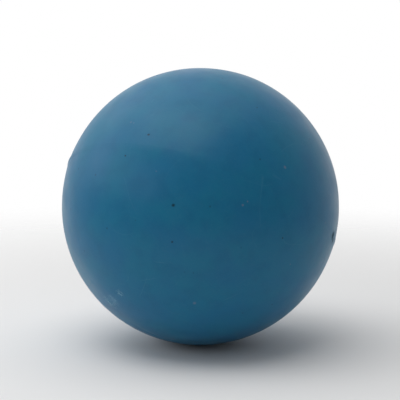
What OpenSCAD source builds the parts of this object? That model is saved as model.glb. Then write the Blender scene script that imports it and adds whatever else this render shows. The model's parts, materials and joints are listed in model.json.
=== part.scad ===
// Croquet ball with a cork-and-rubber core inside a cover moulded as two half shells.
// The frame's origin is the centre of the ball and +Z is up. The ball lies as it came to rest,
// so its pole axis, square to the seam, leans away from vertical.

/* [Ball] */
// Outer diameter over the cover, a regulation 3 5/8 in
ball_d = 92.1; // [80:0.1:96]
// Wall thickness of the moulded cover
cover_t = 8; // [6:0.5:12]
// Thickness of the cement coat that bonds the cover to the core
coat_t = 0.3; // [0.2:0.05:0.6]

/* [Rim joint] */
// Height of the tongue that stands on the lower half's rim
tongue_h = 2.6; // [1.5:0.1:4]
// Width of the tongue
tongue_w = 2.4; // [1.5:0.1:3]
// Thickness of the cement film between the two rims
film_t = 0.2; // [0.1:0.05:0.3]

/* [Seam bead] */
// Width of the bead, a strip of cover stock fused into a V groove along the seam
bead_w = 2.2; // [1:0.1:3]
// Height that the bead still stands above the cover where it is trimmed least
bead_proud = 0.3; // [0.1:0.05:0.5]
// Depth of the V groove that the bead fills
bead_depth = 1; // [0.5:0.1:1.5]

/* [Lie] */
// Lean of the pole axis from vertical, in degrees
lean = 29; // [0:1:90]
// Direction that the upper pole leans in, in degrees from +X towards +Y
lean_heading = 55; // [0:1:359]

/* [Hidden] */
$fn = 180;

ball_r = ball_d / 2;
cover_inner_r = ball_r - cover_t;
core_r = cover_inner_r - coat_t;

// The tongue runs round the middle of the cover's wall.
tongue_r = ball_r - cover_t / 2;

// The bead's crown is an arc through the two edges of the V groove and the top of the bead.
bead_edge_angle = bead_w / 2 / ball_r * 180 / PI;
bead_edge_r = ball_r * cos(bead_edge_angle);
bead_edge_z = ball_r * sin(bead_edge_angle);
crown_rise = ball_r + bead_proud - bead_edge_r;
crown_r = (pow(bead_edge_z, 2) + pow(crown_rise, 2)) / (2 * crown_rise);

cover_blue = [0.12, 0.33, 0.44];
seam_blue = [0.10, 0.30, 0.41];
cork_brown = [0.45, 0.31, 0.20];
cement_amber = [0.72, 0.55, 0.30];

// Sections are drawn in the half plane of radius (x) and height along the pole axis (y).

// Half disc of the given radius.
module half_disc(r) {
    intersection() {
        circle(r);
        translate([0, -2 * r]) square([2 * r, 4 * r]);
    }
}

// Everything below the rim joint, with the stepped joint face moved outward by lift.
module under_joint(lift) {
    reach = 2 * ball_r;
    translate([0, lift - reach]) square([reach, reach]);
    translate([tongue_r - tongue_w / 2 - lift, -1])
        square([tongue_w + 2 * lift, tongue_h + lift + 1]);
}

// The V groove round the outside of the seam, cut clear through the surface.
module v_groove() {
    polygon([
        [ball_r - bead_depth, 0],
        [bead_edge_r, -bead_edge_z],
        [ball_r + 1, -bead_edge_z],
        [ball_r + 1, bead_edge_z],
        [bead_edge_r, bead_edge_z]
    ]);
}

// The cover's wall, with the V groove cut away.
module wall() {
    difference() {
        half_disc(ball_r);
        half_disc(cover_inner_r);
        v_groove();
    }
}

// Turns a section about the pole axis, and leans that axis as the ball lies.
module turned() {
    rotate([0, lean, lean_heading]) rotate_extrude() children();
}

// Pressed ball of cork granules in a rubber binder.
module core() {
    color(cork_brown) turned() half_disc(core_r);
}

// Rubber cement brushed over the core, which holds the cover to it.
module core_cement_coat() {
    color(cement_amber) turned() difference() {
        half_disc(cover_inner_r);
        half_disc(core_r);
    }
}

// Half shell whose rim carries the tongue.
module lower_cover() {
    color(cover_blue) turned() intersection() {
        wall();
        under_joint(-film_t / 2);
    }
}

// Half shell whose rim has the groove for the tongue.
module upper_cover() {
    color(cover_blue) turned() difference() {
        wall();
        under_joint(film_t / 2);
    }
}

// Film that fills the gap between the rims and follows the tongue.
module rim_cement() {
    color(cement_amber) turned() difference() {
        intersection() {
            wall();
            under_joint(film_t / 2);
        }
        under_joint(-film_t / 2);
    }
}

// Fused ring that fills the V groove and stands a little above the cover.
module seam_bead() {
    color(seam_blue) turned() union() {
        polygon([
            [ball_r - bead_depth, 0],
            [bead_edge_r, -bead_edge_z],
            [bead_edge_r, bead_edge_z]
        ]);
        intersection() {
            translate([ball_r + bead_proud - crown_r, 0]) circle(crown_r);
            translate([bead_edge_r, -bead_edge_z]) square(2 * bead_edge_z);
        }
    }
}

core();
core_cement_coat();
lower_cover();
upper_cover();
rim_cement();
seam_bead();
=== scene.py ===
"""The look of a croquet ball: two moulded cover halves with a fused seam, over a core and its cement.

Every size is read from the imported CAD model. Lengths are in metres, and shader coordinates are in
millimetres.
"""

import json
import math

import bmesh
import bpy
import numpy as np
from mathutils import Matrix, Vector, noise


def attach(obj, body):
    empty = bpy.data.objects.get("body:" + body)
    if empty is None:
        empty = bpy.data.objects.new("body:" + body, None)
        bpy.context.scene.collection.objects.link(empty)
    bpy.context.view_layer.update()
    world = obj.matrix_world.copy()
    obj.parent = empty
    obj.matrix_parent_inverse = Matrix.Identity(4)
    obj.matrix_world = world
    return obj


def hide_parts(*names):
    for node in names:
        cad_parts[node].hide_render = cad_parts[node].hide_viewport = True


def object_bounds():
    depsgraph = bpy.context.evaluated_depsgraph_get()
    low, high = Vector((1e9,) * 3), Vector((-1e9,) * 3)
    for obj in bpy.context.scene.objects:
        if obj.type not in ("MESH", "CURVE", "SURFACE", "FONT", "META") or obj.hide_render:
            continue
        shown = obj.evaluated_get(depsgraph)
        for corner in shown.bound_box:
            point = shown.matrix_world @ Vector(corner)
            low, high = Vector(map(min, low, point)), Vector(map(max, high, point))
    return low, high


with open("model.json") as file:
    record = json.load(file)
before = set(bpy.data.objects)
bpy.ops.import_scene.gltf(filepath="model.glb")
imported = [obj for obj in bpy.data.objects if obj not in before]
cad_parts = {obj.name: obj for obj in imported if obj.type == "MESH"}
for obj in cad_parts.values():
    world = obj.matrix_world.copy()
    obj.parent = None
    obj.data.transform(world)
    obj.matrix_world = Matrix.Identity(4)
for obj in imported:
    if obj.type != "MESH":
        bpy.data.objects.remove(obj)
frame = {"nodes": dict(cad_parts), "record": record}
cad_low, cad_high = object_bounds()

MM = 0.001
# Points closer than this to a surface count as on it.
TOUCHING = 0.01 * MM
# Points further from a surface than this count as clear of it.
CLEAR = 0.1 * MM

# ---------------------------------------------------------------- measures taken from the CAD model


def node_points(name):
    """A CAD node's vertices, one row each."""
    return np.array([v.co for v in frame["nodes"][name].data.vertices])


def unit(vector):
    return vector / np.linalg.norm(vector)


def pole_axis():
    """The axis square to the seam, pointing into the upper half."""
    bead = node_points("seam_bead")
    axis = np.linalg.svd(bead - bead.mean(axis=0), full_matrices=False)[2][2]
    return axis if axis @ node_points("upper_cover").mean(axis=0) > 0 else -axis


# The ball's own frame is the row frame leaned over: side, back and pole in place of X, Y and Z.
POLE = pole_axis()
AWAY = np.array([0.0, 1.0, 0.0])
BACK = unit(AWAY - AWAY @ POLE * POLE)
SIDE = np.cross(BACK, POLE)
OWN_AXES = np.array([SIDE, BACK, POLE])


def radii_and_heights(name):
    """Each vertex's distance from the pole axis, and its height along it."""
    side, back, height = (node_points(name) @ OWN_AXES.T).T
    return np.hypot(side, back), height


bead_radii, bead_heights = radii_and_heights("seam_bead")
lower_radii, lower_heights = radii_and_heights("lower_cover")

BALL_R = min(*cad_high, *-cad_low)
COVER_INNER_R = np.linalg.norm(node_points("upper_cover"), axis=1).min()
CORE_R = np.linalg.norm(node_points("core"), axis=1).max()
BEAD_EDGE = bead_heights.max()
BEAD_EDGE_ANGLE = math.asin(BEAD_EDGE / BALL_R)
BEAD_PROUD = bead_radii.max() - BALL_R
BEAD_ROOT_R = bead_radii.min()
TONGUE_TOP = lower_heights.max()
on_tongue = lower_heights > TONGUE_TOP - CLEAR
TONGUE_IN_R, TONGUE_OUT_R = lower_radii[on_tongue].min(), lower_radii[on_tongue].max()
RIM_STEP = -lower_heights[lower_radii > TONGUE_OUT_R + CLEAR].max()
FILM = 2 * RIM_STEP
FLOOR_Z = frame["record"]["mounts"][0]["pos_m"][2]

# ---------------------------------------------------------------- camera, floor and light

CAMERA_RADII = 8.0
CAMERA_ELEVATION = 7
CAMERA_LENS = 99.3
CAMERA_AIM = (-0.1 * MM, 0, 2.1 * MM)
# The light from all round is even in front of the ball. It starts to rise where a direction's Y is
# FRONT_END, and is strongest straight behind.
FRONT_LIGHT, BACK_LIGHT = 0.22, 0.93
FRONT_END = -0.35
BACKDROP_LIGHT = 1.0
# The floor is solid out to one distance from the ball and has faded away at the next.
FLOOR_SIZE = 1.0
FLOOR_SOLID, FLOOR_END = 0.09, 0.40
FLOOR_GREY = 0.77


def add_object(name, data):
    obj = bpy.data.objects.new(name, data)
    bpy.context.scene.collection.objects.link(obj)
    return obj


def place_facing(obj, bearing, elevation, distance, target):
    """Puts obj at a bearing from the viewer's side, positive to the right, and turns it to target."""
    b, e = math.radians(bearing), math.radians(elevation)
    obj.location = distance * Vector((math.sin(b) * math.cos(e), -math.cos(b) * math.cos(e), math.sin(e)))
    obj.rotation_euler = (Vector(target) - obj.location).to_track_quat("-Z", "Y").to_euler()


def make_camera():
    camera = add_object("camera", bpy.data.cameras.new("camera"))
    camera.data.lens = CAMERA_LENS
    camera.data.clip_start = 10 * MM
    place_facing(camera, 0, CAMERA_ELEVATION, CAMERA_RADII * BALL_R, CAMERA_AIM)
    bpy.context.scene.camera = camera


def make_softbox(name, size, radiance):
    """An even rectangular light that shines along its own -Z."""
    lamp = bpy.data.lights.new(name, "AREA")
    lamp.shape = "RECTANGLE"
    lamp.size, lamp.size_y = size
    lamp.energy = radiance * math.pi * size[0] * size[1]
    return add_object(name, lamp)


def make_overhead(name, place, turn, size, radiance):
    """A softbox that hangs level above the ball, turned by an angle about the vertical."""
    obj = make_softbox(name, size, radiance)
    obj.location = place
    obj.rotation_euler = (0, 0, math.radians(turn))


def make_floor():
    """A pale floor that fades into the backdrop well away from the ball."""
    bpy.ops.mesh.primitive_plane_add(size=FLOOR_SIZE, location=(0, 0, FLOOR_Z))
    floor = bpy.context.object
    floor.name = "floor"
    material = bpy.data.materials.new("pale_floor")
    material.use_nodes = True
    tree = material.node_tree
    shader = tree.nodes["Principled BSDF"]
    shader.inputs["Base Color"].default_value = (FLOOR_GREY,) * 3 + (1,)
    shader.inputs["Roughness"].default_value = 0.8
    shader.inputs["Specular IOR Level"].default_value = 0.0
    place = tree.nodes.new("ShaderNodeTexCoord")
    distance = tree.nodes.new("ShaderNodeVectorMath")
    distance.operation = "LENGTH"
    fade = tree.nodes.new("ShaderNodeMapRange")
    fade.interpolation_type = "SMOOTHSTEP"
    fade.inputs["From Min"].default_value = FLOOR_SOLID
    fade.inputs["From Max"].default_value = FLOOR_END
    fade.inputs["To Min"].default_value = 1
    fade.inputs["To Max"].default_value = 0
    tree.links.new(place.outputs["Object"], distance.inputs[0])
    tree.links.new(distance.outputs["Value"], fade.inputs["Value"])
    tree.links.new(fade.outputs["Result"], shader.inputs["Alpha"])
    floor.data.materials.append(material)


def make_surroundings():
    """White light from all round, stronger from behind the ball, in front of a white backdrop."""
    world = bpy.data.worlds.new("surroundings")
    world.use_nodes = True
    bpy.context.scene.world = world
    tree = world.node_tree
    light = tree.nodes["Background"]
    backdrop = tree.nodes.new("ShaderNodeBackground")
    light.inputs["Color"].default_value = (1, 1, 1, 1)
    backdrop.inputs["Color"].default_value = (1, 1, 1, 1)
    backdrop.inputs["Strength"].default_value = BACKDROP_LIGHT
    place = tree.nodes.new("ShaderNodeTexCoord")
    axes = tree.nodes.new("ShaderNodeSeparateXYZ")
    strength = tree.nodes.new("ShaderNodeMapRange")
    strength.inputs["From Min"].default_value = FRONT_END
    strength.inputs["To Min"].default_value = FRONT_LIGHT
    strength.inputs["To Max"].default_value = BACK_LIGHT
    path = tree.nodes.new("ShaderNodeLightPath")
    choice = tree.nodes.new("ShaderNodeMixShader")
    tree.links.new(place.outputs["Generated"], axes.inputs[0])
    tree.links.new(axes.outputs["Y"], strength.inputs["Value"])
    tree.links.new(strength.outputs["Result"], light.inputs["Strength"])
    tree.links.new(path.outputs["Is Camera Ray"], choice.inputs[0])
    tree.links.new(light.outputs[0], choice.inputs[1])
    tree.links.new(backdrop.outputs[0], choice.inputs[2])
    tree.links.new(choice.outputs[0], tree.nodes["World Output"].inputs["Surface"])


def make_stage():
    bpy.context.scene.view_settings.view_transform = "Standard"
    make_camera()
    make_floor()
    make_surroundings()
    make_overhead("key", place=(-0.24, -0.20, 0.70), turn=-33, size=(0.72, 0.46), radiance=1.6)
    make_overhead("bank", place=(-0.46, 0.16, 0.72), turn=-32, size=(1.60, 0.90), radiance=0.92)
    fill = make_softbox("fill", size=(1.4, 0.40), radiance=1.15)
    place_facing(fill, bearing=-75, elevation=24, distance=0.9, target=(0, 0, 0))


make_stage()

# ---------------------------------------------------------------- surface relief

# Depths in metres, and wavelengths in ball radii.
OUT_OF_ROUND, ROUNDNESS_WAVE = 0.05 * MM, 0.9
RIPPLE, RIPPLE_WAVE = 0.006 * MM, 0.12
# How far the cover is flattened back from the seam, and where it is flattened more on each half:
# extra depth, bearing and spread in degrees.
KEEL_REACH = 4 * MM
UPPER_KEEL, LOWER_KEEL = 0.08 * MM, 0.04 * MM
UPPER_FLATS = ((0.10 * MM, -32, 34), (0.06 * MM, -85, 14))
LOWER_FLATS = ((0.16 * MM, -84, 16), (0.08 * MM, 80, 14))
# Marks from play: bearing and latitude in degrees, then width and depth in millimetres.
NICKS = (
    (-45.4, -59.4, 1.6, 0.09),
    (-66, -63.8, 2.2, 0.10),
    (-59.8, -63.3, 1.0, 0.06),
    (68.0, -1.9, 1.6, 0.14),
    (-84, 1.6, 1.2, 0.10),
    (12.8, -54.6, 0.9, 0.05),
    (150, 20, 1.8, 0.08),
    (-140, -30, 1.5, 0.07),
)
LOOSE_DING_COUNT = 36
DING_SEED = 7


def direction(bearing, latitude):
    """Unit vector in the ball's own frame.

    Bearing 0 is the viewer's side, and latitude is the angle above the seam.
    """
    b, a = math.radians(bearing), math.radians(latitude)
    return np.array([math.sin(b) * math.cos(a), -math.cos(b) * math.cos(a), math.sin(a)])


def bearings(points):
    """Bearings in degrees, from -180 to 180, of points in the ball's own frame."""
    return np.degrees(np.arctan2(points[:, 0], -points[:, 1]))


def near_bearing(points, spot, spread):
    """1 at a bearing and falling away from it, over a spread in degrees."""
    turn = (bearings(points) - spot + 180) % 360 - 180
    return np.exp(-((turn / spread) ** 2))


def noise_at(points, wavelength, octaves=1):
    """Smooth noise, about -1 to 1, at points in metres."""
    return np.array([noise.fractal(Vector(p), 1.0, 2.0, octaves) for p in points / wavelength])


def loose_dings():
    """Small knocks scattered over the whole ball, as direction, width and depth."""
    draw = np.random.default_rng(DING_SEED)
    for _ in range(LOOSE_DING_COUNT):
        yield unit(draw.normal(size=3)), draw.uniform(0.8, 1.8) * MM, draw.uniform(0.01, 0.035) * MM


def all_dings():
    for bearing, latitude, width, depth in NICKS:
        yield direction(bearing, latitude), width * MM, depth * MM
    yield from loose_dings()


def flattening(points, least, flats):
    """How deep one half is flattened at each point's bearing."""
    return least + sum(extra * near_bearing(points, spot, spread) for extra, spot, spread in flats)


def surface_depth(points):
    """How far the worn surface lies inside the true sphere at points of the own frame, in metres."""
    away = points / np.linalg.norm(points, axis=1, keepdims=True)
    from_seam = BALL_R * (np.abs(np.arcsin(away[:, 2])) - BEAD_EDGE_ANGLE)
    upper = flattening(away, UPPER_KEEL, UPPER_FLATS)
    lower = flattening(away, LOWER_KEEL, LOWER_FLATS)
    keel = np.where(away[:, 2] > 0, upper, lower)
    depth = keel * (1 - np.exp(-np.maximum(from_seam, 0) / KEEL_REACH))
    depth += OUT_OF_ROUND * (0.5 + 0.5 * noise_at(away, ROUNDNESS_WAVE))
    depth += RIPPLE * (1 + noise_at(away, RIPPLE_WAVE, 2))
    for centre, width, ding in all_dings():
        distance = BALL_R * np.arccos(np.clip(away @ centre, -1, 1))
        depth += ding * np.exp(-((2 * distance / width) ** 2))
    return np.maximum(depth, 0)


# ---------------------------------------------------------------- turned meshes

TURN_COUNT = 640
FEWEST_IN_RING = 10
# A ring is halved once its vertices stand closer than this share of its pitch.
CLOSEST = 0.7
SHARP_ANGLE = math.radians(35)
# A ring with less than this radius is a single point on the pole axis.
AT_POLE = 1e-9


def ring_counts(rows):
    """How many vertices each ring takes: halved as rings shrink or coarsen, one halving at a time."""
    counts = []
    for radius, _, pitch in rows:
        count = TURN_COUNT
        while count > FEWEST_IN_RING and 2 * math.pi * radius < CLOSEST * pitch * count:
            count //= 2
        counts.append(count)
    for i in range(1, len(counts)):
        counts[i] = min(counts[i], 2 * counts[i - 1])
    for i in reversed(range(len(counts) - 1)):
        counts[i] = min(counts[i], 2 * counts[i + 1])
    return [1 if radius == 0 else count for (radius, _, _), count in zip(rows, counts)]


def bridge(first, second):
    """Faces between two neighbouring rings, whose counts are equal, halved, or one at a pole."""
    if len(first) < len(second):
        return [tuple(reversed(face)) for face in bridge(second, first)]
    faces = []
    n, m = len(first), len(second)
    if m == 1:
        return [(first[i], first[(i + 1) % n], second[0]) for i in range(n)]
    if n == m:
        return [(first[i], first[(i + 1) % n], second[(i + 1) % n], second[i]) for i in range(n)]
    for i in range(m):
        left, middle, right = first[2 * i], first[2 * i + 1], first[(2 * i + 2) % n]
        after = second[(i + 1) % m]
        faces += [(left, middle, second[i]), (middle, after, second[i]), (middle, right, after)]
    return faces


def turned_points(rows, counts):
    """The rings' vertices in the ball's own frame."""
    rings = []
    for (radius, height, _), count in zip(rows, counts):
        turn = np.arange(count) * 2 * math.pi / count
        heights = np.full(count, height)
        rings.append(np.column_stack([radius * np.sin(turn), -radius * np.cos(turn), heights]))
    return np.concatenate(rings)


def turned_faces(counts, first_vertex, ring_closed):
    """The faces between each ring and the next, numbered from first_vertex."""
    starts = first_vertex + np.concatenate([[0], np.cumsum(counts)])
    rings = [range(start, start + count) for start, count in zip(starts, counts)]
    pairs = list(zip(rings, rings[1:]))
    if ring_closed:
        pairs.append((rings[-1], rings[0]))
    return [face for first, second in pairs for face in bridge(first, second)]


def turned_piece(name, surfaces, shape, ring_closed=False):
    """A mesh of closed surfaces, each of rows (radius, height, pitch) turned about the pole.

    shape moves the points afterwards, in the ball's own frame.
    """
    points, faces = [], []
    for rows in surfaces:
        counts = ring_counts(rows)
        faces += turned_faces(counts, sum(len(part) for part in points), ring_closed)
        points.append(turned_points(rows, counts))
    mesh = bpy.data.meshes.new(name)
    mesh.from_pydata(shape(np.concatenate(points)) @ OWN_AXES, [], faces)
    solid = bmesh.new()
    solid.from_mesh(mesh)
    bmesh.ops.recalc_face_normals(solid, faces=solid.faces)
    solid.to_mesh(mesh)
    solid.free()
    mesh.shade_smooth()
    mesh.set_sharp_from_angle(angle=SHARP_ANGLE)
    return add_object(name, mesh)


def arc_rows(radius, start, end, pitch):
    """Rows along an arc about the ball's centre, between two angles above the seam."""
    steps = math.ceil(abs(end - start) * radius / pitch)
    angles = np.linspace(start, end, steps + 1)
    rows = [(radius * math.cos(a), radius * math.sin(a), pitch) for a in angles]
    return [(0.0 if r < AT_POLE else r, h, p) for r, h, p in rows]


# ---------------------------------------------------------------- the pieces

OUTER_PITCH = 0.45 * MM
SEAM_PITCH = 0.25 * MM
SEAM_BAND = 4 * MM
INNER_PITCH = 3 * MM
POLE_ANGLE = math.pi / 2


def v_wall_radius(height):
    """Radius of the V groove's wall at a height from the seam plane."""
    edge_r = BALL_R * math.cos(BEAD_EDGE_ANGLE)
    return BEAD_ROOT_R + (edge_r - BEAD_ROOT_R) * height / BEAD_EDGE


def rim_rows(tongue_out, tongue_in, top):
    """Rows across a cover's rim, from the V groove over the tongue or its groove to the inside."""
    inner_r = math.sqrt(COVER_INNER_R**2 - RIM_STEP**2)
    corners = [
        (v_wall_radius(RIM_STEP), RIM_STEP),
        (tongue_out, RIM_STEP),
        (tongue_out, top),
        (tongue_in, top),
        (tongue_in, RIM_STEP),
        (inner_r, RIM_STEP),
    ]
    return [(radius, height, SEAM_PITCH) for radius, height in corners]


def cover_rows(rim):
    """A half shell's section: down the outside from the pole, across the rim, and back up the inside."""
    band_angle = BEAD_EDGE_ANGLE + SEAM_BAND / BALL_R
    outside = arc_rows(BALL_R, POLE_ANGLE, band_angle, OUTER_PITCH)
    seam_side = arc_rows(BALL_R, band_angle, BEAD_EDGE_ANGLE, SEAM_PITCH)
    inner_rim_angle = math.asin(RIM_STEP / COVER_INNER_R)
    inside = arc_rows(COVER_INNER_R, inner_rim_angle, POLE_ANGLE, INNER_PITCH)
    return outside + seam_side[1:] + rim + inside[1:]


def worn(points):
    """Presses the outside surface in by its relief, and leaves the rest."""
    size = np.linalg.norm(points, axis=1)
    outside = np.abs(size - BALL_R) < TOUCHING
    points[outside] *= 1 - (surface_depth(points[outside]) / BALL_R)[:, None]
    return points


def below(points):
    return points * [1, 1, -1]


def make_upper_cover():
    rim = rim_rows(TONGUE_OUT_R + FILM, TONGUE_IN_R - FILM, TONGUE_TOP + FILM)
    return turned_piece("upper_cover_shell", [cover_rows(rim)], worn)


def make_lower_cover():
    rim = rim_rows(TONGUE_OUT_R, TONGUE_IN_R, -TONGUE_TOP)
    return turned_piece("lower_cover_shell", [cover_rows(rim)], lambda points: worn(below(points)))


# Where the trimmed bead still stands high: share of its full height, bearing and spread in degrees.
HIGH_SPOTS = ((0.6, -86, 12), (0.4, 84, 12), (0.8, -165, 10), (0.7, 128, 6), (0.14, 180, 85))
BEAD_ROWS = 16
# Shares of its full height that the bead keeps elsewhere, and that it wanders by.
BEAD_LOW, BEAD_WANDER = 0.03, 0.03
WANDER_WAVE = 6 * MM


def bead_share(points):
    """How much of its full height the trimmed bead keeps at each point's bearing, from 0 to 1."""
    flat = points * [1, 1, 0]
    share = BEAD_LOW + BEAD_WANDER * noise_at(flat, WANDER_WAVE, 3)
    for height, spot, spread in HIGH_SPOTS:
        share += height * near_bearing(points, spot, spread)
    return np.clip(share, 0, 1)


def trimmed_bead(points):
    """Raises the crown of the bead between its two edges, which stay level with the covers."""
    size = np.linalg.norm(points, axis=1)
    outside = np.abs(size - BALL_R) < TOUCHING
    crown = points[outside]
    across = np.arcsin(crown[:, 2] / BALL_R) / BEAD_EDGE_ANGLE
    rise = BEAD_PROUD * bead_share(crown) * (1 - across**2)
    points[outside] *= 1 + ((rise - surface_depth(crown)) / BALL_R)[:, None]
    return points


def make_seam_bead():
    angles = np.linspace(BEAD_EDGE_ANGLE, -BEAD_EDGE_ANGLE, BEAD_ROWS + 1)
    crown = [(BALL_R * math.cos(a), BALL_R * math.sin(a), SEAM_PITCH) for a in angles]
    section = crown + [(BEAD_ROOT_R, 0, SEAM_PITCH)]
    return turned_piece("fused_seam", [section], trimmed_bead, ring_closed=True)


# The granules that the core is pressed from, seen as low cells in its surface.
GRANULE = 3.2 * MM
GRANULE_GAP = 0.12 * MM
# How wide the gaps are, as a share of a granule.
GAP_SPREAD = 0.12
INNER_TURN_PITCH = 0.9 * MM


def granule_depth(points):
    """Depth of the gaps between the cork granules at points of the core's surface."""
    depths = []
    for point in points / GRANULE:
        near, next_near = noise.voronoi(Vector(point))[0][:2]
        depths.append(GRANULE_GAP * math.exp(-((next_near - near) / GAP_SPREAD) ** 2))
    return np.array(depths)


def pressed(points):
    """Lowers the core's surface between its granules."""
    size = np.linalg.norm(points, axis=1)
    core_side = np.abs(size - CORE_R) < TOUCHING
    points[core_side] *= 1 - (granule_depth(points[core_side]) / CORE_R)[:, None]
    return points


def full_turn_arc(radius):
    return arc_rows(radius, POLE_ANGLE, -POLE_ANGLE, INNER_TURN_PITCH)


def make_core():
    return turned_piece("pressed_core", [full_turn_arc(CORE_R)], pressed)


def make_coat():
    """The cement fills the gaps between the granules, so its inside is the core's own surface."""
    return turned_piece("cement_coat", [full_turn_arc(COVER_INNER_R), full_turn_arc(CORE_R)], pressed)


PIECES = {
    "core": (make_core(), "core_composition"),
    "core_cement_coat": (make_coat(), "rubber_cement"),
    "lower_cover": (make_lower_cover(), "cover"),
    "upper_cover": (make_upper_cover(), "cover"),
    "seam_bead": (make_seam_bead(), "seam_stock"),
}

for node_name, (piece, slot) in PIECES.items():
    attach(piece, "root")
    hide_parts(node_name)

# ---------------------------------------------------------------- materials

# Shader coordinates are millimetres in the ball's own frame, with Z along the pole axis.
TO_OWN_TURN = Matrix([list(axis) for axis in OWN_AXES]).to_euler()
PER_METRE = 1000
BALL_MM = BALL_R * PER_METRE


class Shade:
    """A material's node tree, with one short call for each kind of node it needs."""

    def __init__(self, name, **uniform):
        self.material = bpy.data.materials.new(name)
        self.material.use_nodes = True
        self.tree = self.material.node_tree
        self.shader = self.tree.nodes["Principled BSDF"]
        for socket, value in uniform.items():
            self.shader.inputs[socket.replace("_", " ")].default_value = value
        place = self.add("ShaderNodeTexCoord")
        to_own = {"Vector": place.outputs["Object"], "Rotation": TO_OWN_TURN, "Scale": (PER_METRE,) * 3}
        self.points = self.add("ShaderNodeMapping", to_own).outputs["Vector"]

    def add(self, kind, sockets=(), **settings):
        """Adds a node, and sets or links its sockets."""
        made = self.tree.nodes.new(kind)
        for setting, value in settings.items():
            setattr(made, setting, value)
        for name, value in dict(sockets).items():
            if isinstance(value, bpy.types.NodeSocket):
                self.tree.links.new(value, made.inputs[name])
            else:
                made.inputs[name].default_value = value
        return made

    def link(self, output, socket):
        self.tree.links.new(output, self.shader.inputs[socket])

    def math(self, operation, first, second=0.0, third=0.0):
        return self.add("ShaderNodeMath", {0: first, 1: second, 2: third}, operation=operation).outputs[0]

    def ramp(self, value, low, high, to_low=0.0, to_high=1.0):
        """Takes value from low..high to to_low..to_high, and eases it in between."""
        ends = {"Value": value, "From Min": low, "From Max": high, "To Min": to_low, "To Max": to_high}
        return self.add("ShaderNodeMapRange", ends, interpolation_type="SMOOTHSTEP").outputs["Result"]

    def noise(self, wavelength, detail=0.0, shift=0.0, stretch=(1, 1, 1)):
        """Noise of about 0 to 1. Stretch makes it longer along an axis of the ball's own frame."""
        scale = [1 / (wavelength * axis) for axis in stretch]
        spread = {"Vector": self.points, "Location": (shift, shift, shift), "Scale": scale}
        moved = self.add("ShaderNodeMapping", spread).outputs["Vector"]
        return self.add("ShaderNodeTexNoise", {"Vector": moved, "Scale": 1, "Detail": detail}).outputs["Fac"]

    def cells(self, size, feature="F1", output="Distance", randomness=1.0):
        sockets = {"Vector": self.points, "Scale": 1 / size, "Randomness": randomness}
        return self.add("ShaderNodeTexVoronoi", sockets, feature=feature).outputs[output]

    def mix(self, factor, first, second):
        """Goes from the first colour to the second."""
        made = self.add("ShaderNodeMix", {0: factor}, data_type="RGBA")
        for socket, value in ((6, first), (7, second)):
            if isinstance(value, bpy.types.NodeSocket):
                self.tree.links.new(value, made.inputs[socket])
            else:
                made.inputs[socket].default_value = (*value, 1)
        return made.outputs[2]

    def most(self, *values):
        """The largest of several masks."""
        result = values[0]
        for value in values[1:]:
            result = self.math("MAXIMUM", result, value)
        return result

    def times(self, *values):
        result = values[0]
        for value in values[1:]:
            result = self.math("MULTIPLY", result, value)
        return result

    def spot(self, bearing, latitude, width, softness=0.4, warp=None):
        """A mask that is 1 inside a round spot of the given width, in millimetres."""
        centre = BALL_MM * direction(bearing, latitude)
        away = self.add("ShaderNodeVectorMath", {0: self.points, 1: centre}, operation="DISTANCE")
        gap = away.outputs["Value"]
        if warp is not None:
            gap = self.math("ADD", gap, warp)
        return self.ramp(gap, width / 2 * (1 - softness), width / 2 * (1 + softness), 1.0, 0.0)

    def stroke(self, bearing, latitude, length, width, heading, bend=0.0):
        """A mask of a fine scratch.

        Heading is its direction from east, and bend moves it off a great circle.
        """
        b, a, h = (math.radians(angle) for angle in (bearing, latitude, heading))
        middle = direction(bearing, latitude)
        east = np.array([math.cos(b), math.sin(b), 0])
        north = np.cross(middle, east)
        across = math.cos(h) * north - math.sin(h) * east
        normal = unit(across + bend * middle)
        off = BALL_MM * (normal @ middle)
        side = self.add("ShaderNodeVectorMath", {0: self.points, 1: normal}, operation="DOT_PRODUCT")
        gap = self.math("ABSOLUTE", self.math("SUBTRACT", side.outputs["Value"], off))
        line = self.ramp(gap, 0.2 * width, 0.7 * width, 1.0, 0.0)
        return self.times(line, self.spot(bearing, latitude, length, softness=0.5))

    def bump(self, height, depth, strength=1.0, below=None):
        """Adds height, from 0 to 1, as relief of the given depth in millimetres."""
        sockets = {"Height": height, "Distance": depth / PER_METRE, "Strength": strength}
        if below is not None:
            sockets["Normal"] = below
        return self.add("ShaderNodeBump", sockets).outputs["Normal"]


# Marks on the cover: bearing and latitude in degrees, then width in millimetres.
DARK_SPECKS = (
    (-29.7, 5.7, 0.7), (-12.4, -19.0, 0.9), (-9.3, -32.3, 0.55), (34.4, -16.0, 0.5), (-36.6, -3.7, 0.5),
    (70, 31, 0.7), (112, -12, 0.8), (151, 24, 0.6), (-168, -21, 0.8), (-121, 38, 0.7), (-95, -27, 0.6),
)
PALE_SPECKS = (
    (12.8, -54.6, 0.9), (-40.2, 10.7, 0.6), (-38.6, 10.4, 0.5), (25.3, 9.3, 0.9), (13.0, -11.3, 0.6),
    (14.3, -9.3, 0.5),
    (95, 15, 0.7), (168, -38, 0.8), (-140, 8, 0.6),
)
# Scratches: bearing and latitude, length and width in millimetres, heading in degrees, and bend.
SCRATCHES = (
    (-13.0, -41.4, 3.0, 0.22, 8, 0.0),
    (-35.9, 22.3, 1.6, 0.30, 85, 0.0),
    (19.8, 28.1, 6.0, 0.08, 20, 0.12),
    (-22.4, -54.2, 8.0, 0.16, 70, 0.25),
    (-19.0, -50.0, 6.0, 0.14, 25, 0.20),
    (29.2, -45.7, 5.0, 0.14, 60, 0.05),
    (-49.0, -60.0, 5.0, 0.25, 40, 0.05),
    (105, -35, 9.0, 0.16, 15, 0.15),
    (140, 42, 7.0, 0.15, 70, 0.10),
    (-160, -48, 10.0, 0.16, 30, -0.2),
    (-110, 12, 8.0, 0.15, -25, 0.1),
)
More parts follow.
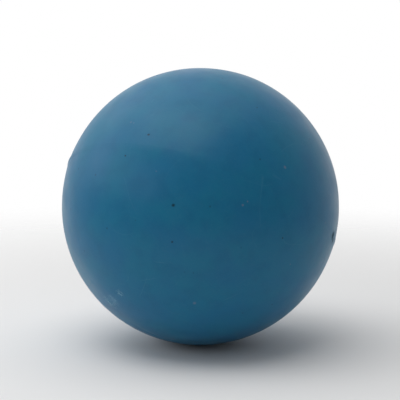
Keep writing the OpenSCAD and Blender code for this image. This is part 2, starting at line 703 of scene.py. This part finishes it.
# Rubbed patches: bearing, latitude and width.
SCUFFS = (
    (-45.4, -59.4, 3.5), (-66.0, -63.8, 6.0), (20.0, 34.0, 5.0), (67, -2.3, 3.0), (125, -52, 6.0),
    (-150, 33, 5.0), (-88, -8, 4.0),
)
# Knocks on the seam, darkened with dirt and painted shade: bearing, latitude and width.
SEAM_NICKS = ((68.3, -1.4, 2.6), (71.0, -2.6, 1.8), (-84.0, 1.8, 1.4))
# The freshest of the rubbed patches, which show paler.
FRESH_SCUFFS = ((-45.4, -59.4, 2.4), (-60.5, -63.3, 3.6), (-70.5, -64.0, 4.6))

SEA_BLUE = (0.0084, 0.1585, 0.2830)
DEEP_BLUE = (0.0094, 0.1435, 0.2860)
MOTTLE_BLUE = (0.0049, 0.1065, 0.2180)
SPECK_DARK = (0.004, 0.012, 0.020)
SPECK_CLAY = (0.20, 0.20, 0.27)
SCUFF_PALE = (0.13, 0.31, 0.43)
RUBBED_BLUE = (0.045, 0.17, 0.28)
# The darkening along the seam and in its knocks: partly dirt, partly painted shade.
SEAM_DIRT_AND_SHADE = (0.006, 0.050, 0.080)
# The seam's blue as a share of the cover's.
SEAM_TONE = 0.985
CORK_DARK, CORK_LIGHT = (0.11, 0.055, 0.025), (0.36, 0.20, 0.095)
CORK_PORE = (0.045, 0.022, 0.012)
BINDER_BLACK = (0.016, 0.013, 0.012)
AMBER_THICK, AMBER_THIN, AMBER_BRUSHED = (0.46, 0.28, 0.09), (0.33, 0.19, 0.06), (0.55, 0.36, 0.14)
# How far from the seam, in millimetres, the darkening of dirt and painted shade and the trimming streaks
# reach.
DIRT_AND_SHADE_REACH, STREAK_REACH = 1.9, 4.0


def hairlines(shade):
    """Faint curved hairlines all over, as level lines of slow noise that fade in and out."""
    lines = []
    for wavelength, shift, width in ((21, 3.9, 0.0016), (17, 7.7, 0.0020), (29, 12.4, 0.0013)):
        level = shade.math("ABSOLUTE", shade.math("SUBTRACT", shade.noise(wavelength, shift=shift), 0.5))
        line = shade.ramp(level, 0.4 * width, 1.6 * width, 1.0, 0.0)
        patch = shade.ramp(shade.noise(9, shift=shift + 5), 0.58, 0.70)
        lines.append(shade.times(line, patch))
    return shade.most(*lines)


def scatter(shade, spacing, low, high):
    """Small specks scattered at about one to each cell, of which a few are large enough to show."""
    return shade.ramp(shade.cells(spacing), low, high, 1.0, 0.0)


def seam_band(shade, reach):
    """A mask that is 1 at the seam and falls to 0 at a distance in millimetres."""
    height = shade.add("ShaderNodeSeparateXYZ", {0: shade.points}).outputs["Z"]
    return shade.ramp(shade.math("ABSOLUTE", height), 0.2 * reach, reach, 1.0, 0.0)


def made_marks(shade, ragged):
    """Masks of the marks of play: rubbed patches, the freshest of them and scratches. Also a darkening along
    the seam and in its knocks, partly dirt and partly painted shade.
    """
    scuff_grain = shade.ramp(shade.noise(0.45, detail=3, shift=9.0), 0.40, 0.62)
    patches = shade.most(*[shade.spot(b, a, width, 0.8, ragged) for b, a, width in SCUFFS])
    broad = shade.ramp(shade.noise(11, detail=2, shift=4.4), 0.60, 0.74)
    scuffed = shade.times(shade.most(patches, shade.math("MULTIPLY", broad, 0.35)), scuff_grain)

    fresh = shade.most(*[shade.spot(b, a, width, 0.7, ragged) for b, a, width in FRESH_SCUFFS])
    drag = shade.noise(0.45, detail=3, shift=15.0, stretch=(5, 1, 1))
    fresh = shade.times(fresh, shade.ramp(drag, 0.48, 0.62))

    strokes = [shade.stroke(*scratch) for scratch in SCRATCHES]
    scratched = shade.most(shade.math("MULTIPLY", hairlines(shade), 0.5), *strokes)

    # A darkening along the seam and in its knocks: partly dirt, partly painted shade under the seam's edge.
    dirt_and_shade_stretch = shade.ramp(shade.noise(30, detail=2, shift=6.0), 0.50, 0.75, 0.0, 0.25)
    nicked = shade.most(*[shade.spot(b, a, width, 0.5, ragged) for b, a, width in SEAM_NICKS])
    dirt_and_shade = shade.times(seam_band(shade, DIRT_AND_SHADE_REACH), dirt_and_shade_stretch)
    dirt_and_shade = shade.most(dirt_and_shade, shade.math("MULTIPLY", nicked, 0.9))
    return {
        "scuffed": scuffed,
        "scuff_relief": shade.times(scuffed, scuff_grain),
        "fresh": fresh,
        "scratched": scratched,
        "dirt_and_shade": dirt_and_shade,
    }


def made_specks(shade, table, ragged, spacing, low, high, share):
    """A mask of the specks in a table, and of fainter ones scattered between them."""
    placed = shade.most(*[shade.spot(b, a, width, 0.6, ragged) for b, a, width in table])
    return shade.most(placed, shade.math("MULTIPLY", scatter(shade, spacing, low, high), share))


def clouded_blue(shade, sea, deep, grain):
    """The blue stock itself, with its clouding, mottling and grain."""
    cloud = shade.ramp(shade.noise(13, detail=3), 0.32, 0.68)
    colour = shade.mix(cloud, sea, deep)
    mottle = shade.ramp(shade.noise(4.5, detail=4, shift=5.5), 0.40, 0.75, 0.0, 0.30)
    colour = shade.mix(mottle, colour, MOTTLE_BLUE)
    return shade.mix(shade.ramp(grain, 0.45, 0.75, 0.0, 0.16), colour, RUBBED_BLUE)


def finish_relief(shade, grain, marks, dark):
    """The finest relief: moulding texture, grain, trimming streaks along the seam, and the marks."""
    normal = shade.bump(shade.noise(0.9, detail=1, shift=8.0), 0.006)
    normal = shade.bump(grain, 0.003, below=normal)
    streaks = shade.noise(1.0, detail=2, stretch=(9, 9, 0.28))
    normal = shade.bump(shade.times(streaks, seam_band(shade, STREAK_REACH)), 0.008, below=normal)
    normal = shade.bump(marks["scuff_relief"], -0.010, below=normal)
    return shade.bump(shade.most(marks["scratched"], dark), -0.012, below=normal)


def finish_blue(shade, sea, deep, roughness):
    """The moulded blue with its marks of play, in colour, roughness and relief."""
    ragged = shade.math("MULTIPLY", shade.math("SUBTRACT", shade.noise(0.7, detail=2), 0.5), 0.9)
    ragged_edge = shade.math("MULTIPLY", ragged, 0.7)
    grain = shade.noise(0.5, detail=2, shift=2.0)
    marks = made_marks(shade, ragged)
    pale = made_specks(shade, PALE_SPECKS, ragged_edge, 8.5, 0.02, 0.045, 0.6)
    dark = made_specks(shade, DARK_SPECKS, ragged_edge, 7.9, 0.025, 0.055, 0.4)

    colour = clouded_blue(shade, sea, deep, grain)
    colour = shade.mix(shade.math("MULTIPLY", marks["scuffed"], 0.30), colour, RUBBED_BLUE)
    colour = shade.mix(marks["fresh"], colour, SCUFF_PALE)
    # Darkens along the seam and in its knocks, partly with dirt and partly with painted shade.
    colour = shade.mix(marks["dirt_and_shade"], colour, SEAM_DIRT_AND_SHADE)
    colour = shade.mix(shade.math("MULTIPLY", marks["scratched"], 0.18), colour, SCUFF_PALE)
    colour = shade.mix(shade.math("MULTIPLY", pale, 0.45), colour, SPECK_CLAY)
    colour = shade.mix(shade.math("MULTIPLY", dark, 0.85), colour, SPECK_DARK)
    shade.link(colour, "Base Color")

    haze = shade.noise(7, detail=4, shift=1.3)
    rough = shade.ramp(haze, 0.3, 0.7, roughness - 0.03, roughness + 0.04)
    worn_rough = shade.math("MULTIPLY", shade.most(marks["scuffed"], marks["scratched"]), 0.18)
    rough = shade.math("ADD", rough, worn_rough)
    rough = shade.math("ADD", rough, shade.math("MULTIPLY", marks["dirt_and_shade"], 0.30))
    shade.link(rough, "Roughness")

    shade.link(finish_relief(shade, grain, marks, dark), "Normal")
    return shade.material


def cover_material():
    shade = Shade("moulded_blue_cover", IOR=1.3)
    return finish_blue(shade, SEA_BLUE, DEEP_BLUE, roughness=0.35)


def seam_material():
    shade = Shade("trimmed_blue_seam", IOR=1.3)
    sea, deep = (tuple(SEAM_TONE * part for part in blue) for blue in (SEA_BLUE, DEEP_BLUE))
    return finish_blue(shade, sea, deep, roughness=0.36)


def core_material():
    """Cork granules of several browns in a dark rubber binder."""
    shade = Shade("pressed_cork_and_rubber", Roughness=0.85, Specular_IOR_Level=0.3)
    size = GRANULE * PER_METRE
    tone = shade.add("ShaderNodeSeparateColor", {0: shade.cells(size, output="Color")}).outputs[0]
    cork = shade.mix(tone, CORK_DARK, CORK_LIGHT)
    pores = shade.ramp(shade.noise(0.6, detail=3), 0.55, 0.70)
    cork = shade.mix(shade.math("MULTIPLY", pores, 0.6), cork, CORK_PORE)
    joint = shade.ramp(shade.cells(size, feature="DISTANCE_TO_EDGE"), 0.03, 0.09, 1.0, 0.0)
    shade.link(shade.mix(joint, cork, BINDER_BLACK), "Base Color")
    normal = shade.bump(shade.noise(0.5, detail=4), 0.06)
    shade.link(shade.bump(joint, -0.08, below=normal), "Normal")
    return shade.material


def cement_material():
    """Brushed rubber cement that has dried amber, thin in places."""
    shade = Shade("dried_rubber_cement", Subsurface_Weight=0.15, IOR=1.52)
    brushed = shade.noise(1.6, detail=3, stretch=(5, 1, 1))
    thin = shade.ramp(shade.noise(8, detail=3, shift=3.0), 0.35, 0.65)
    amber = shade.mix(thin, AMBER_THICK, AMBER_THIN)
    ridges = shade.ramp(brushed, 0.4, 0.7, 0.0, 0.5)
    shade.link(shade.mix(ridges, amber, AMBER_BRUSHED), "Base Color")
    shade.link(shade.ramp(brushed, 0.3, 0.7, 0.30, 0.48), "Roughness")
    shade.link(shade.bump(brushed, 0.05), "Normal")
    return shade.material


SLOT_MATERIALS = {
    "cover": cover_material(),
    "seam_stock": seam_material(),
    "core_composition": core_material(),
    "rubber_cement": cement_material(),
}

for piece, slot in PIECES.values():
    piece.data.materials.append(SLOT_MATERIALS[slot])

rim_cement = frame["nodes"]["rim_cement"]
for material_slot in rim_cement.material_slots:
    material_slot.material = SLOT_MATERIALS["rubber_cement"]
